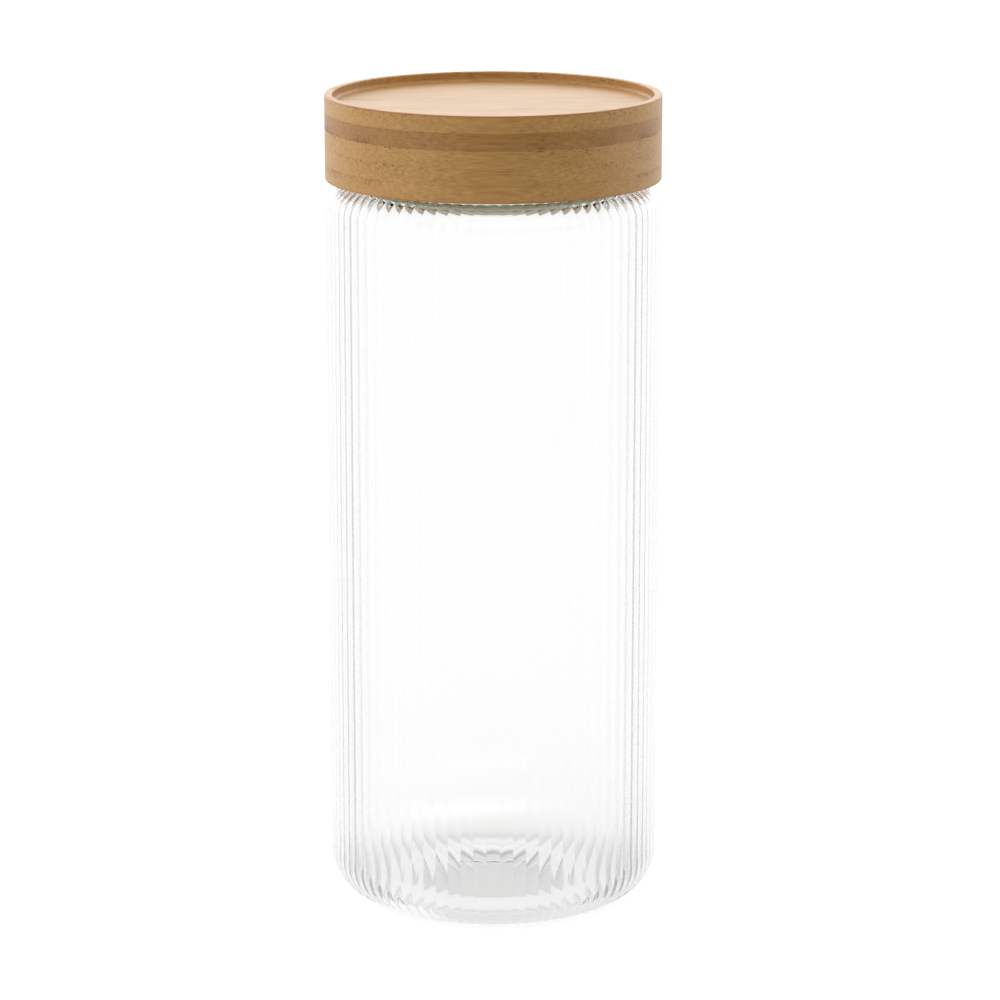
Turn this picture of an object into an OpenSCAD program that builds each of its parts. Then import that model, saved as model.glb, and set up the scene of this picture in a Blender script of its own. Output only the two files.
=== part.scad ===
// Ribbed glass storage jar with a laminated bamboo lid and a silicone seal.
// Millimetres. The origin is the centre of the base, +Z is up, and the lid is closed.

/* [Jar] */
// Outside diameter of the glass over the rib crests
jar_d = 104.8; // [96:0.2:120]
// Height from the table to the top of the lid
total_h = 258; // [160:1:300]
// Thickness of the glass from a rib crest to the smooth inside
wall = 2.6; // [2.2:0.1:3]
// Radius of the rounded bottom corner
corner_r = 14; // [10:0.5:16]
// Radius of the rounded shoulder under the lid
shoulder_r = 8; // [6:0.5:9]
// How far the glass turns in past the shoulder, up to the mouth
mouth_turn = 2.4; // [2:0.2:4]

/* [Base] */
// Thickness of the glass floor
floor_t = 3.2; // [2.6:0.1:4]
// Diameter of the hollow under the floor
punt_d = 48; // [30:1:54]
// Height of the hollow under the floor
punt_h = 8; // [4:0.5:9]

/* [Ribs] */
// Number of upright ribs round the glass
rib_count = 80; // [60:1:88]
// Depth of the groove between two ribs
groove_depth = 0.4; // [0.2:0.05:0.6]
// Radius of the groove's round floor
groove_r = 1; // [0.8:0.05:1.2]

/* [Lid] */
// Thickness of one bamboo ply
ply_t = 5.3; // [4.8:0.1:6]
// How far the lid stands out past the rib crests
lid_proud = 0.1; // [0:0.05:0.5]
// Depth of the stacking recess in the top ply
recess_depth = 3; // [2:0.25:3.5]
// Width of the rim round the stacking recess
recess_rim = 2.5; // [2:0.25:5]
// Size of the small chamfer on the lid's edges
edge = 0.4; // [0.2:0.1:0.6]

/* [Plug and seal] */
// How far the plug reaches down under the lid
plug_t = 3.8; // [3.4:0.1:4.6]
// Gap between the lid and the glass, which the seal's flange fills
lid_gap = 1; // [0.8:0.1:1.5]
// Thickness of the silicone band round the plug
band_t = 1.6; // [1.2:0.1:2]
// How far the seal's fin stands out from the band
fin = 1.1; // [0.8:0.1:1.5]
// Gap between the seal's fin and the glass
fin_gap = 0.05; // [0.03:0.01:0.08]
// Gap between the seal's flange and the glass
rim_gap = 0.2; // [0.1:0.05:0.4]

/* [Hidden] */
$fn = 160;

ply_count = 5;                               // plies of the lid above its underside; the plug is under them
over = 1;                                    // how far a cutter runs past the face it cuts
jar_r = jar_d / 2;
lid_r = jar_r + lid_proud;
lid_z = total_h - ply_count * ply_t;         // underside of the lid
jar_h = lid_z - lid_gap;                     // top of the glass
bead_r = wall / 2;                           // round edge of the mouth
mouth_r = jar_r - shoulder_r - mouth_turn;
fin_r = mouth_r - fin_gap;
band_r = fin_r - fin;                        // outside of the seal's band
plug_r = band_r - band_t;                    // plug, inside the seal
plug_z = lid_z - plug_t;                     // underside of the plug and foot of the seal
key_d = 0.6;                                 // depth of the groove round the plug, which the seal's key fills
key_h = 1.2;
key_z = 1.2;                                 // lower edge of that groove, over the underside of the plug
flange_t = lid_gap - rim_gap;                // the seal's flange over the glass
flange_r = jar_r - shoulder_r + 0.4;
cove_r = 1.2;                                // inside corner of the recess
punt_sphere_r = (pow(punt_d / 2, 2) + pow(punt_h, 2)) / (2 * punt_h);
groove_out = groove_r - groove_depth;        // groove centre line, out from the rib crests

bamboo = [0.80, 0.65, 0.45];
bamboo_dark = [0.66, 0.49, 0.32];

function ply_z(level) = lid_z + level * ply_t;   // underside of a ply; level 0 is the lowest above the glass

// Upright round slug with rounded ends, from z = 0 to z = h
module slug(r, h, low_r, high_r) {
    rotate_extrude() {
        square([r - low_r, h - high_r]);
        translate([0, low_r]) square([r, h - low_r - high_r]);
        translate([0, low_r]) square([r - high_r, h - low_r]);
        translate([r - low_r, low_r]) circle(low_r);
        translate([r - high_r, h - high_r]) circle(high_r);
    }
}

// The space inside the jar, with the floor pushed up over the hollow
module inside() {
    difference() {
        translate([0, 0, floor_t])
            slug(jar_r - wall, jar_h - wall - floor_t, corner_r - wall, shoulder_r - wall);
        translate([0, 0, punt_h - punt_sphere_r]) sphere(punt_sphere_r + floor_t);
    }
    translate([0, 0, jar_h - shoulder_r]) cylinder(r = mouth_r + bead_r, h = shoulder_r + over);
}

// One groove between two ribs: it runs out where the bottom corner and the shoulder curve away from it
module groove() {
    translate([jar_r + groove_out, 0, 0]) cylinder(r = groove_r, h = jar_h, $fn = 32);
}

module glass_jar() {
    color([0.92, 0.95, 0.94, 0.4]) {
        difference() {
            slug(jar_r, jar_h, corner_r, shoulder_r);
            inside();
            translate([0, 0, punt_h - punt_sphere_r]) sphere(punt_sphere_r);
            for (i = [0 : rib_count - 1])
                rotate([0, 0, (i + 0.5) * 360 / rib_count]) groove();
        }
        rotate_extrude() translate([mouth_r + bead_r, jar_h - bead_r]) circle(bead_r, $fn = 48);
    }
}

// Silicone ring: a band with a key that sits in the plug's groove, a fin that meets the mouth where it is
// narrowest, and a flange that lies over the glass
module silicone_seal() {
    root = 0.5;                              // half the height of the fin where it leaves the band
    tip = 0.15;                              // a third of the height of the fin's blunt edge
    root_r = band_r - band_t / 3;            // where the fin starts, inside the band
    fin_z = jar_h - bead_r - plug_z - 1.5 * tip;
    color([0.93, 0.93, 0.90]) translate([0, 0, plug_z]) rotate_extrude() {
        translate([plug_r, 0]) square([band_t, plug_t]);
        translate([plug_r - key_d, key_z]) square([key_d + band_t / 2, key_h]);
        translate([plug_r, plug_t - flange_t]) square([flange_r - plug_r, flange_t]);
        polygon([[root_r, fin_z - root], [fin_r - tip, fin_z], [fin_r, fin_z + tip],
                 [fin_r, fin_z + 2 * tip], [fin_r - tip, fin_z + 3 * tip], [root_r, fin_z + root]]);
    }
}

module disc(level, shade = bamboo) {
    color(shade) translate([0, 0, ply_z(level)]) cylinder(r = lid_r, h = ply_t);
}

// The thinner ply that goes into the mouth, with a groove round it for the seal's key
module plug_ply() {
    color(bamboo) translate([0, 0, plug_z]) rotate_extrude()
        polygon([[0, 0], [plug_r - edge, 0], [plug_r, edge], [plug_r, key_z], [plug_r - key_d, key_z],
                 [plug_r - key_d, key_z + key_h], [plug_r, key_z + key_h], [plug_r, plug_t], [0, plug_t]]);
}

// Lowest ply of the lid, with a chamfer on its lower edge
module bottom_ply() {
    color(bamboo) translate([0, 0, lid_z]) {
        cylinder(r1 = lid_r - edge, r2 = lid_r, h = edge);
        translate([0, 0, edge]) cylinder(r = lid_r, h = ply_t - edge);
    }
}

module lower_core_ply() { disc(1); }

module upper_core_ply() { disc(2); }

module dark_ply() { disc(3, bamboo_dark); }

// Top ply with the stacking recess, whose inside corner is a cove
module top_ply() {
    recess_r = lid_r - recess_rim;
    color(bamboo) translate([0, 0, ply_z(4)]) difference() {
        rotate_extrude()
            polygon([[0, 0], [lid_r, 0], [lid_r, ply_t - edge], [lid_r - edge, ply_t], [0, ply_t]]);
        translate([0, 0, ply_t - recess_depth + cove_r]) cylinder(r = recess_r, h = recess_depth);
        translate([0, 0, ply_t - recess_depth]) cylinder(r = recess_r - cove_r, h = recess_depth);
        translate([0, 0, ply_t - recess_depth + cove_r]) rotate_extrude()
            translate([recess_r - cove_r, 0]) circle(cove_r, $fn = 48);
        translate([0, 0, ply_t - edge]) cylinder(r1 = recess_r, r2 = recess_r + 2 * edge, h = 2 * edge);
    }
}

glass_jar();
silicone_seal();
plug_ply();
bottom_ply();
lower_core_ply();
upper_core_ply();
dark_ply();
top_ply();
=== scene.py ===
import math

import bpy
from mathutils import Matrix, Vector


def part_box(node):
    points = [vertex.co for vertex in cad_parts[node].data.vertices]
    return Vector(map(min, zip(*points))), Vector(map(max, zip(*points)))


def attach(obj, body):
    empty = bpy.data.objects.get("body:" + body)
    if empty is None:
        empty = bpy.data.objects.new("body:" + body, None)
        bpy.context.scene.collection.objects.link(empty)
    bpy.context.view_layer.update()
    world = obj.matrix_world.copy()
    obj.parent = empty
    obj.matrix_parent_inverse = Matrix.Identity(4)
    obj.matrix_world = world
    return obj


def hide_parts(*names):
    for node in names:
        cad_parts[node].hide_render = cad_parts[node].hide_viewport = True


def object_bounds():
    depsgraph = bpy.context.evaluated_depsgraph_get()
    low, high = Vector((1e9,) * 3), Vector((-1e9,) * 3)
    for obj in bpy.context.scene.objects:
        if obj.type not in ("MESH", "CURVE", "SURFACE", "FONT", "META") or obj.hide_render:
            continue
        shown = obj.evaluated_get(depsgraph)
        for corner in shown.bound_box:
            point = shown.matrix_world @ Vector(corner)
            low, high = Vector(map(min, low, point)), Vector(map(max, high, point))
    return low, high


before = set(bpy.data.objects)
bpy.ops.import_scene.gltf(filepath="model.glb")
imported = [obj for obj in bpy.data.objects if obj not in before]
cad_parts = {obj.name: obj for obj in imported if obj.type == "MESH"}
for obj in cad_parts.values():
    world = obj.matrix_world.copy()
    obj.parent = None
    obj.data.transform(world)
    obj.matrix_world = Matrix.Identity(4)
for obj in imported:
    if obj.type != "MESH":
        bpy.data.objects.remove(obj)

cad_low, cad_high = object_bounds()
MM = 0.001
ON_AXIS = 1e-6                  # a smaller radius counts as a point on the axis

# ----------------------------------------------------------------------------------------------------
# Sizes, in millimetres in the CAD frame. What a node's box gives is read from it, and the rest is set here.


def low(node):
    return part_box(node)[0] / MM


def high(node):
    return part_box(node)[1] / MM


JAR_R = high("glass_jar").x
JAR_H = high("glass_jar").z
LID_R = high("top_ply").x
LID_TOP = high("top_ply").z
LID_Z = low("bottom_ply").z
PLY_T = LID_TOP - low("top_ply").z
PLUG_R = high("plug_ply").x
PLUG_Z = low("plug_ply").z
FLANGE_R = high("silicone_seal").x

WALL = 2.6                      # glass thickness
CORNER_R = 14.0                 # bottom corner of the glass
SHOULDER_R = 8.0
MOUTH_TURN = 2.4                # from the shoulder's arc in to the mouth
MOUTH_R = JAR_R - SHOULDER_R - MOUTH_TURN
FLOOR_T = 3.2
PUNT_R = 24.0                   # hollow under the floor
PUNT_H = 8.0
PUNT_EASE = 5.0                 # rounding at the foot of the hollow, below and above the floor

RIBS = 80
GROOVE = 0.27                   # depth of the groove between two ribs
RIB_STEPS = (-1, -0.93, -0.8, -0.58, -0.3, 0, 0.3, 0.58, 0.8, 0.93)   # places across one rib, from -1 to 1
BASE_FADE = (39.0, 44.0)        # radii between which the ribs grow under the jar
SHOULDER_FADE = (44.0, 46.5)    # and run out on the shoulder
GLASS_TURN = 7.5                # degrees between two points of a round corner of the glass

PLIES = 5                       # of the lid, over the plug
RECESS_R = LID_R - 2.5
RECESS_DEPTH = 3.0
COVE_R = 1.2                    # inside corner of the recess
LID_EDGE = 0.45                 # softened outer edges of the lid
PLUG_EDGE = 0.4
SEAM = 0.06                     # tiny softening where two plies meet
LATHE_SIDES = 256

FIN_R = MOUTH_R - 0.05          # tip of the seal's fin
BAND_R = FIN_R - 1.1
FIN_ROOT = 0.7                  # how far the fin's root reaches down
FIN_TIP = 0.15                  # half the height of the fin's edge
FLANGE_T = 0.8
KEY_R = PLUG_R - 0.6            # groove round the plug, filled by the seal's key
KEY_LOW = PLUG_Z + 1.2
KEY_HIGH = KEY_LOW + 1.2

# ----------------------------------------------------------------------------------------------------
# Outlines: half sections given as corners (radius, height, fillet), from the axis round the outside


def fillet(before, corner, after, radius, turn):
    """Points of a round corner, one for each turn degrees. A large one gets a point just off each end as
    well, which keeps the shading of the flat beside it flat."""
    u = (before - corner).normalized()
    v = (after - corner).normalized()
    opening = u.angle(v)
    reach = radius / math.tan(opening / 2)
    centre = corner + (u + v).normalized() * radius / math.sin(opening / 2)
    start = corner + u * reach - centre
    end = corner + v * reach - centre
    swept = math.pi - opening
    steps = max(2, round(math.degrees(swept) / turn))
    points = []
    for i in range(steps + 1):
        share = i / steps
        points.append(centre + start * (math.sin((1 - share) * swept) / math.sin(swept))
                      + end * (math.sin(share * swept) / math.sin(swept)))
    hold = 0.5                  # distance of the extra points from the round
    if radius > 4 * hold:
        points = [corner + u * (reach + hold)] + points + [corner + v * (reach + hold)]
    return points


def outline(corners, turn=9.0):
    """(radius, height) points along the corners, with their fillets."""
    places = [Vector((r, z)) for r, z, _ in corners]
    points = []
    for i, (place, (_, _, radius)) in enumerate(zip(places, corners)):
        if radius == 0:
            points.append(place)
        else:
            points.extend(fillet(places[i - 1], place, places[(i + 1) % len(places)], radius, turn))
    return points


def dome(radius, top_z, foot_z, steps=9):
    """Corners along a ball's top, from the axis out to the height foot_z."""
    reach = math.acos(1 - (top_z - foot_z) / radius)
    turns = [reach * i / steps for i in range(steps + 1)]
    return [(radius * math.sin(a), top_z - radius * (1 - math.cos(a)), 0) for a in turns]


def skin(name, rings, closed):
    """Mesh object through rings of points in millimetres. A ring of one point is a pole."""
    points, starts, faces = [], [], []
    for ring in rings:
        starts.append(len(points))
        points.extend([(x * MM, y * MM, z * MM) for x, y, z in ring])
    order = list(range(len(rings)))
    pairs = list(zip(order, order[1:])) + ([(order[-1], 0)] if closed else [])
    for a, b in pairs:
        in_a, in_b = len(rings[a]), len(rings[b])
        count = max(in_a, in_b)
        for i in range(count):
            j = (i + 1) % count
            corners = (starts[a] + i % in_a, starts[a] + j % in_a, starts[b] + j % in_b, starts[b] + i % in_b)
            faces.append(tuple(dict.fromkeys(corners)))
    mesh = bpy.data.meshes.new(name)
    mesh.from_pydata(points, [], faces)
    mesh.validate()
    mesh.shade_smooth()
    piece = bpy.data.objects.new(name, mesh)
    bpy.context.scene.collection.objects.link(piece)
    return piece


def turned(name, corners, closed=False, turn=9.0):
    """A piece turned on a lathe."""
    angles = [2 * math.pi * i / LATHE_SIDES for i in range(LATHE_SIDES)]
    rings = []
    for p in outline(corners, turn):
        if p.x < ON_AXIS:
            rings.append([(0, 0, p.y)])
        else:
            rings.append([(p.x * math.cos(a), p.x * math.sin(a), p.y) for a in angles])
    return skin(name, rings, closed)


# ----------------------------------------------------------------------------------------------------
# The glass


def smooth(low_edge, high_edge, value):
    t = min(1.0, max(0.0, (value - low_edge) / (high_edge - low_edge)))
    return t * t * (3 - 2 * t)


def glass_jar():
    """Blown jar: convex ribs outside, from the standing ring over the corner and the wall to the shoulder."""
    ball = (PUNT_R ** 2 + PUNT_H ** 2) / (2 * PUNT_H)
    round_edge = WALL * 0.49    # just under half the wall, so the two fillets of the mouth don't meet
    punt = dome(ball, PUNT_H, 0)
    outside = punt[:-1] + [
        (PUNT_R, 0, PUNT_EASE), (JAR_R, 0, CORNER_R), (JAR_R, JAR_H, SHOULDER_R),
        (MOUTH_R, JAR_H, round_edge),
    ]
    inside = [
        (MOUTH_R, JAR_H - WALL, round_edge), (JAR_R - WALL, JAR_H - WALL, SHOULDER_R - WALL),
        (JAR_R - WALL, FLOOR_T, CORNER_R - WALL),
    ]
    raised = dome(ball + FLOOR_T, PUNT_H + FLOOR_T, FLOOR_T)
    foot_r, foot_z, _ = raised[-1]
    points = outline(outside + inside + [(foot_r, foot_z, PUNT_EASE)] + raised[-2::-1], GLASS_TURN)
    rim = max(range(len(points)), key=lambda k: points[k].y)
    angles = []
    for rib in range(RIBS):
        for u in RIB_STEPS:
            angles.append(((rib + u / 2) * 2 * math.pi / RIBS, u * u))
    rings = []
    for k, p in enumerate(points):
        if p.x < ON_AXIS:
            rings.append([(0, 0, p.y)])
            continue
        along = (points[k + 1] - points[k - 1]).normalized()
        normal = Vector((along.y, -along.x))
        fade = smooth(*(BASE_FADE if p.y < JAR_H / 2 else SHOULDER_FADE), p.x)
        depth = GROOVE * fade if k < rim else 0.0
        ring = []
        for angle, share in angles:
            q = p - normal * depth * share
            ring.append((q.x * math.cos(angle), q.x * math.sin(angle), q.y))
        rings.append(ring)
    return skin("jar_glass", rings, False)


# ----------------------------------------------------------------------------------------------------
# The lid


def disc(low_z, high_z, low_ease, high_ease):
    return [(0, low_z, 0), (LID_R, low_z, low_ease), (LID_R, high_z, high_ease), (0, high_z, 0)]


def lid_pieces():
    """Name, CAD node and corners of each turned piece of the lid, from the top down."""
    z = [LID_Z + i * PLY_T for i in range(PLIES)]
    recess_z = LID_TOP - RECESS_DEPTH
    return [
        ("lid_top_ply", "top_ply", [
            (0, z[4], 0), (LID_R, z[4], SEAM), (LID_R, LID_TOP, LID_EDGE), (RECESS_R, LID_TOP, LID_EDGE),
            (RECESS_R, recess_z, COVE_R), (0, recess_z, 0)]),
        ("lid_dark_ply", "dark_ply", disc(z[3], z[4], SEAM, SEAM)),
        ("lid_upper_core", "upper_core_ply", disc(z[2], z[3], SEAM, SEAM)),
        ("lid_lower_core", "lower_core_ply", disc(z[1], z[2], SEAM, SEAM)),
        ("lid_bottom_ply", "bottom_ply", disc(z[0], z[1], LID_EDGE, SEAM)),
        ("lid_plug", "plug_ply", [
            (0, PLUG_Z, 0), (PLUG_R, PLUG_Z, PLUG_EDGE), (PLUG_R, KEY_LOW, 0), (KEY_R, KEY_LOW, 0),
            (KEY_R, KEY_HIGH, 0), (PLUG_R, KEY_HIGH, 0), (PLUG_R, LID_Z, 0), (0, LID_Z, 0)]),
    ]


def seal_corners():
    """Band keyed into the plug, with a fin that meets the mouth at its narrowest and a flange over the
    glass."""
    flange_z = LID_Z - FLANGE_T
    fin_z = JAR_H - WALL / 2
    return [
        (PLUG_R, PLUG_Z, 0.1), (BAND_R, PLUG_Z, 0.3), (BAND_R, fin_z - FIN_ROOT, 0.15),
        (FIN_R, fin_z - FIN_TIP, 0.1), (FIN_R, fin_z + FIN_TIP, 0.1), (BAND_R, fin_z + 2 * FIN_TIP, 0.05),
        (BAND_R, flange_z, 0.3), (FLANGE_R, flange_z, 0.25), (FLANGE_R, LID_Z, 0.25), (PLUG_R, LID_Z, 0),
        (PLUG_R, KEY_HIGH, 0), (KEY_R, KEY_HIGH, 0), (KEY_R, KEY_LOW, 0), (PLUG_R, KEY_LOW, 0),
    ]


# ----------------------------------------------------------------------------------------------------
# Materials


class Tree:
    """Short names for building a node tree."""

    def __init__(self, owner):
        owner.use_nodes = True
        self.tree = owner.node_tree
        self.tree.nodes.clear()

    def add(self, kind, **settings):
        made = self.tree.nodes.new(kind)
        for key, value in settings.items():
            setattr(made, key, value)
        return made

    def put(self, target, value):
        """Links a socket, or sets a plain value."""
        if isinstance(value, bpy.types.NodeSocket):
            self.tree.links.new(value, target)
        else:
            target.default_value = value

    def math(self, operation, *values, clamp=False):
        made = self.add("ShaderNodeMath", operation=operation, use_clamp=clamp)
        for socket, value in zip(made.inputs, values):
            self.put(socket, value)
        return made.outputs[0]

    def total(self, *parts, clamp=False):
        """Sum of (value, weight) parts."""
        value = 0.0
        for i, (part, weight) in enumerate(parts):
            value = self.math("MULTIPLY_ADD", part, weight, value, clamp=clamp and i == len(parts) - 1)
        return value

    def mix(self, share, a, b):
        made = self.add("ShaderNodeMix", data_type="RGBA")
        self.put(made.inputs[0], share)
        self.put(made.inputs[6], a)
        self.put(made.inputs[7], b)
        return made.outputs[2]

    def range(self, value, from_low, from_high, to_low=0.0, to_high=1.0):
        made = self.add("ShaderNodeMapRange", interpolation_type="SMOOTHSTEP")
        for socket, number in zip(made.inputs, (value, from_low, from_high, to_low, to_high)):
            self.put(socket, number)
        return made.outputs[0]

    def scaled(self, vector, factors):
        made = self.add("ShaderNodeVectorMath", operation="MULTIPLY")
        self.put(made.inputs[0], vector)
        made.inputs[1].default_value = factors
        return made.outputs[0]

    def moved(self, vector, offset):
        made = self.add("ShaderNodeVectorMath", operation="ADD")
        self.put(made.inputs[0], vector)
        self.put(made.inputs[1], offset)
        return made.outputs[0]

    def vector(self, x, y, z):
        made = self.add("ShaderNodeCombineXYZ")
        for socket, value in zip(made.inputs, (x, y, z)):
            self.put(socket, value)
        return made.outputs[0]

    def axes(self, vector):
        made = self.add("ShaderNodeSeparateXYZ")
        self.put(made.inputs[0], vector)
        return made.outputs["X"], made.outputs["Y"], made.outputs["Z"]

    def noise(self, vector, scale, detail=3.0, rough=0.5):
        made = self.add("ShaderNodeTexNoise")
        self.put(made.inputs["Vector"], vector)
        made.inputs["Scale"].default_value = scale
        made.inputs["Detail"].default_value = detail
        made.inputs["Roughness"].default_value = rough
        return made.outputs["Fac"]

    def cells(self, vector):
        made = self.add("ShaderNodeTexVoronoi", feature="F1")
        self.put(made.inputs["Vector"], vector)
        made.inputs["Scale"].default_value = 1.0
        return made.outputs["Distance"]

    def bump(self, height, distance):
        made = self.add("ShaderNodeBump")
        made.inputs["Distance"].default_value = distance
        self.put(made.inputs["Height"], height)
        return made.outputs["Normal"]

    def surface(self, **inputs):
        shader = self.add("ShaderNodeBsdfPrincipled")
        for key, value in inputs.items():
            self.put(shader.inputs[key.replace("_", " ")], value)
        out = self.add("ShaderNodeOutputMaterial")
        self.tree.links.new(shader.outputs[0], out.inputs["Surface"])


def srgb(r, g, b):
    """Linear colour of an sRGB one given from 0 to 255."""
    parts = [v / 255 for v in (r, g, b)]
    return [v / 12.92 if v <= 0.04045 else ((v + 0.055) / 1.055) ** 2.4 for v in parts] + [1.0]


PALE = srgb(214, 164, 92)
BROWN = srgb(146, 96, 44)
DARK_PALE = srgb(192, 140, 70)
DARK_BROWN = srgb(118, 72, 32)
# Colour of the painted dark edge line along the lid's outer top and bottom edges
PAINTED_EDGE_ORANGE = srgb(186, 112, 44)


def glass():
    material = bpy.data.materials.new("clear_glass")
    t = Tree(material)
    where = t.add("ShaderNodeTexCoord").outputs["Object"]
    waves = t.noise(t.scaled(where, (1, 1, 0.35)), 22.0, 0.0)
    t.surface(Base_Color=(0.988, 0.991, 0.988, 1), Roughness=0.0, IOR=1.5, Transmission_Weight=1.0,
              Normal=t.bump(waves, 0.000004))
    return material


def bamboo(name, pale, brown, ply_z, crowded_top, crowding, seed, edge_z):
    """Laminated bamboo: fibres along X, which show as streaks where the lid's side follows them and as dots
    where it cuts them. The dark bundles crowd towards one face of the ply, which was the skin side of the
    cane. A painted dark edge line runs along the lid's outer edge at the height edge_z: darker, more orange
    colour that stands in for the dark fringe beside the edge's highlight, not a mark of the bamboo."""
    material = bpy.data.materials.new(name)
    t = Tree(material)
    place = t.scaled(t.add("ShaderNodeTexCoord").outputs["Object"], (1 / MM,) * 3)
    x, y, z = t.axes(place)
    radius = t.math("SQRT", t.total((t.math("MULTIPLY", x, x), 1.0), (t.math("MULTIPLY", y, y), 1.0)))
    # Painted dark edge line: a thin band on the outer skin near the height edge_z, the dark fringe beside the
    # edge's highlight
    from_edge = t.math("ABSOLUTE", t.math("SUBTRACT", z, edge_z))
    painted_edge_line = t.math("MULTIPLY", t.range(from_edge, 0.25, 0.75, 0.7, 0.0),
                   t.range(radius, LID_R - 0.6, LID_R - 0.2))
    place = t.moved(place, (seed * 61.0, seed * 17.3, 0))
    wander = t.noise(t.scaled(place, (0.02, 0.25, 0.25)), 1.0, 1.0)
    place = t.moved(place, t.vector(0.0, wander, t.math("MULTIPLY", wander, 1.6)))
    fibre = t.scaled(place, (0.045, 1.0, 1.0))
    depth = t.math("DIVIDE", t.math("SUBTRACT", t.axes(place)[2], ply_z + 0.8), PLY_T)
    if not crowded_top:
        depth = t.math("SUBTRACT", 1.0, depth)
    crowd = t.math("POWER", t.math("MAXIMUM", depth, 0.0), 4.0)

    # Areas some centimetres long, bundles 0.8 mm apart, fine grain, and softer bands a little wider than it
    patch = t.noise(t.scaled(fibre, (0.45, 0.07, 0.12)), 1.0, 2.0)
    bundle = t.range(t.cells(t.scaled(fibre, (1.0, 1.25, 1.25))), 0.10, 0.50, 1.0, 0.0)
    speck = t.noise(fibre, 1.7, 2.0, 0.6)
    streak = t.noise(t.scaled(fibre, (0.5, 1.0, 1.0)), 0.8, 1.0)
    dense = t.math("MULTIPLY", crowd, t.range(patch, 0.40, 0.62))
    darkness = t.total((bundle, t.total((dense, 0.9), (1.0, 0.14))), (speck, 1.0), (streak, 0.35),
                       (patch, 0.30), (dense, crowding), (1.0, -0.54), clamp=True)
    relief = t.total((speck, 0.5), (bundle, -0.5))
    # The painted dark edge line is mixed over the bamboo's own colour here
    colour = t.mix(painted_edge_line, t.mix(darkness, pale, brown), PAINTED_EDGE_ORANGE)
    t.surface(Base_Color=colour, Roughness=t.range(darkness, 0.0, 1.0, 0.32, 0.44), IOR=1.5,
              Normal=t.bump(relief, 0.00003))
    return material


def silicone():
    material = bpy.data.materials.new("silicone")
    t = Tree(material)
    where = t.add("ShaderNodeTexCoord").outputs["Object"]
    grain = t.noise(where, 900.0, 2.0)
    t.surface(Base_Color=t.mix(grain, (0.88, 0.87, 0.62, 1), (0.94, 0.93, 0.71, 1)), Roughness=0.45, IOR=1.41,
              Normal=t.bump(grain, 0.00002))
    return material


# ----------------------------------------------------------------------------------------------------
# The studio's light. The levels differ by the kind of ray, and most pairs are (behind, in front).

FRONT = (0.36, -0.93)           # where the front lies, a little to the right of the camera
FRONT_EDGE = (0.3, 0.85)        # how squarely a direction points there, where the front starts and is full

SKY = (1.15, 0.15)              # lights the lid
OVERHEAD = 0.92
SKY_SHEEN = 1.95                # reflected from behind
THROUGH_GLASS = 1.0             # seen or shining through the glass
THROUGH_GLASS_HIGH = (0.38, 1.9)

FLOOR_BOUNCE = (1.15, 0.38)     # what matt surfaces get from the floor
FLOOR_SHEEN = (0.97, 0.82)      # what reflections show of it
FLOOR_TONES = (0.38, 0.40)      # the two tones of its faint mottling
FLOOR_GLOW = 0.66
FLOOR_GLOW_SEEN = 0.85          # where the camera sees it directly


def towards_front(t, direction):
    """1 in the directions of the front and 0 in the others, with a soft edge."""
    x, y, _ = t.axes(direction)
    return t.range(t.total((x, FRONT[0]), (y, FRONT[1])), *FRONT_EDGE)


def grey(level):
    return (level, level, level, 1)


def by_side(t, front, levels):
    behind, ahead = levels
    return t.mix(front, grey(behind), grey(ahead))


def floor_material():
    """White table top. It glows a little, so that the shadow of the jar stays pale, and the light that it
    throws back on the jar is weaker from the front."""
    material = bpy.data.materials.new("studio_floor")
    t = Tree(material)
    where = t.add("ShaderNodeTexCoord").outputs["Object"]
    outward = t.add("ShaderNodeVectorMath", operation="NORMALIZE")
    t.put(outward.inputs[0], where)
    front = towards_front(t, outward.outputs[0])
    path = t.add("ShaderNodeLightPath").outputs
    diffuse = path["Is Diffuse Ray"]
    bounced = t.math("MAXIMUM", diffuse, path["Is Glossy Ray"])
    # A ray that went through glass counts as glossy too
    lighting = t.math("SUBTRACT", bounced, path["Is Transmission Ray"], clamp=True)
    thrown = t.mix(diffuse, by_side(t, front, FLOOR_SHEEN), by_side(t, front, FLOOR_BOUNCE))
    tone = t.mix(t.noise(where, 3.0), grey(FLOOR_TONES[0]), grey(FLOOR_TONES[1]))
    glow = t.mix(path["Is Camera Ray"], grey(FLOOR_GLOW), grey(FLOOR_GLOW_SEEN))
    t.surface(Base_Color=t.mix(lighting, tone, grey(0.0)), Roughness=1.0, Specular_IOR_Level=0.0,
              Emission_Color=t.mix(lighting, glow, thrown), Emission_Strength=1.0)
    return material


# ----------------------------------------------------------------------------------------------------
# Build


def finish_piece(piece, body, node, material):
    piece.data.materials.append(material)
    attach(piece, body)
    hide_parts(node)


def build():
    finish_piece(glass_jar(), "jar", "glass_jar", glass())
    for seed, (name, node, corners) in enumerate(lid_pieces()):
        dark = node == "dark_ply"
        pale, brown = (DARK_PALE, DARK_BROWN) if dark else (PALE, BROWN)
        # edge_z places the painted dark edge line; only the top and bottom plies reach it
        material = bamboo("bamboo_" + node, pale, brown, low(node).z, crowded_top=not dark,
                          crowding=0.3 if node in ("dark_ply", "bottom_ply") else 0.0, seed=seed + 1,
                          edge_z=LID_Z if node == "bottom_ply" else LID_TOP)
        finish_piece(turned(name, corners), "lid", node, material)
    seal = turned("seal_ring", seal_corners(), closed=True, turn=30.0)
    finish_piece(seal, "lid", "silicone_seal", silicone())


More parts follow.
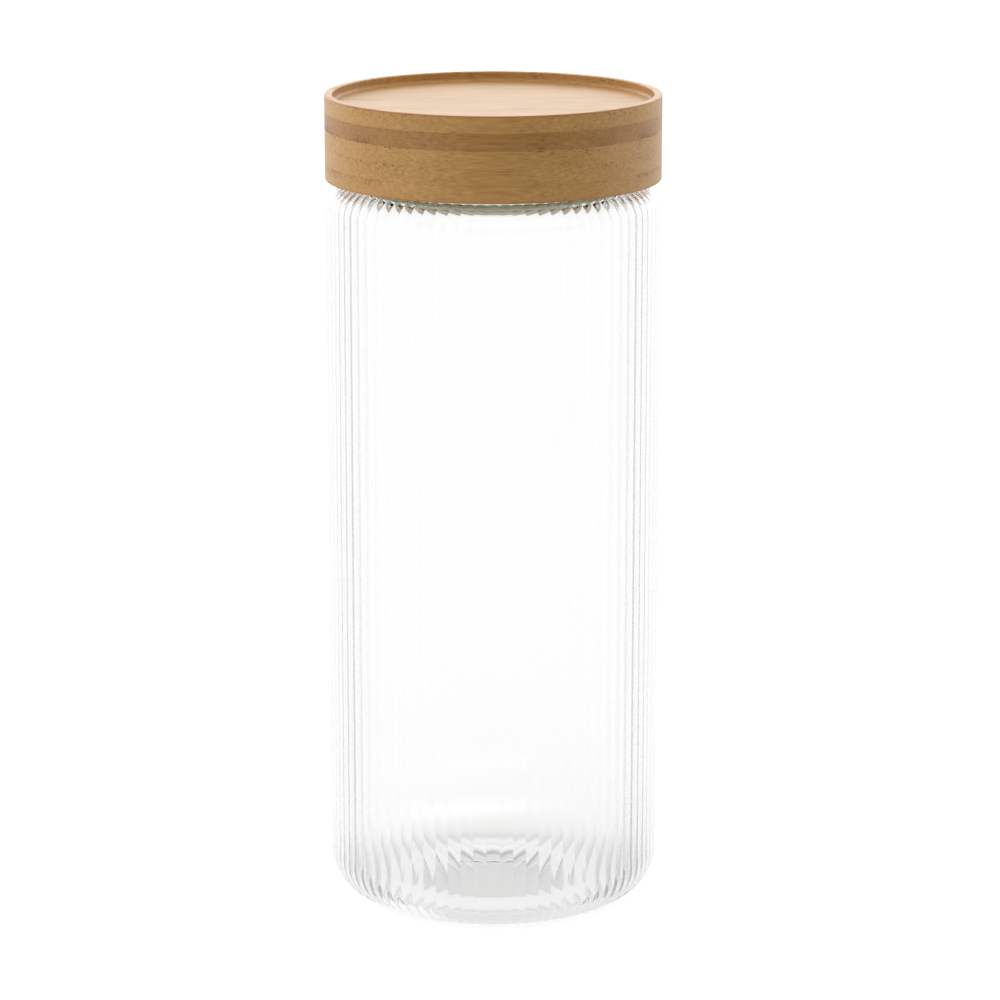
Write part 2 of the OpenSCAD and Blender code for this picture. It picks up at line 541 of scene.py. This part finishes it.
def studio():
    """Pale floor and a soft white surround, bright behind and dim on the camera's side."""
    bpy.ops.mesh.primitive_plane_add(size=8.0)
    floor = bpy.context.object
    floor.name = "studio_floor"
    floor.data.materials.append(floor_material())

    world = bpy.data.worlds.new("studio")
    bpy.context.scene.world = world
    t = Tree(world)
    direction = t.add("ShaderNodeTexCoord").outputs["Generated"]
    path = t.add("ShaderNodeLightPath").outputs
    _, back, up = t.axes(direction)
    front = towards_front(t, direction)
    light = t.mix(t.range(up, 0.3, 0.9), by_side(t, front, SKY), grey(OVERHEAD))
    sheen = t.math("MULTIPLY", t.range(back, 0.3, 0.8), path["Is Glossy Ray"])
    light = t.mix(sheen, light, grey(SKY_SHEEN))
    through = t.mix(t.range(up, 0.08, 0.25), grey(THROUGH_GLASS), by_side(t, front, THROUGH_GLASS_HIGH))
    seen = t.mix(path["Is Transmission Ray"], light, through)
    background = t.add("ShaderNodeBackground")
    t.put(background.inputs["Color"], t.mix(path["Is Camera Ray"], seen, grey(1.0)))
    out = t.add("ShaderNodeOutputWorld")
    t.tree.links.new(background.outputs[0], out.inputs["Surface"])


def camera():
    """The camera of a product shot: long lens, looking a little down."""
    distance = 1.263            # metres, to a point on the jar's axis
    pitch = math.radians(13.57)
    aim = 0.496                 # height of that point, as a share of the jar's
    data = bpy.data.cameras.new("camera")
    data.sensor_width = 36.0
    data.lens = 143.0
    data.shift_x = 0.0067
    data.clip_end = 50.0
    cam = bpy.data.objects.new("camera", data)
    bpy.context.scene.collection.objects.link(cam)
    target = Vector((0, 0, cad_high.z * aim))
    cam.location = target + distance * Vector((0, -math.cos(pitch), math.sin(pitch)))
    cam.rotation_euler = (math.pi / 2 - pitch, 0, 0)
    bpy.context.scene.camera = cam


def light_paths():
    """Many bounces for the glass. Light reflected more often inside its wall than glossy_bounces allows is
    cut off, which helps to draw the lines between the ribs."""
    scene = bpy.context.scene
    scene.view_settings.view_transform = "Standard"
    scene.cycles.max_bounces = 48
    scene.cycles.transmission_bounces = 40
    scene.cycles.glossy_bounces = 21
    scene.cycles.diffuse_bounces = 4
    scene.cycles.use_denoising = True


build()
studio()
camera()
light_paths()
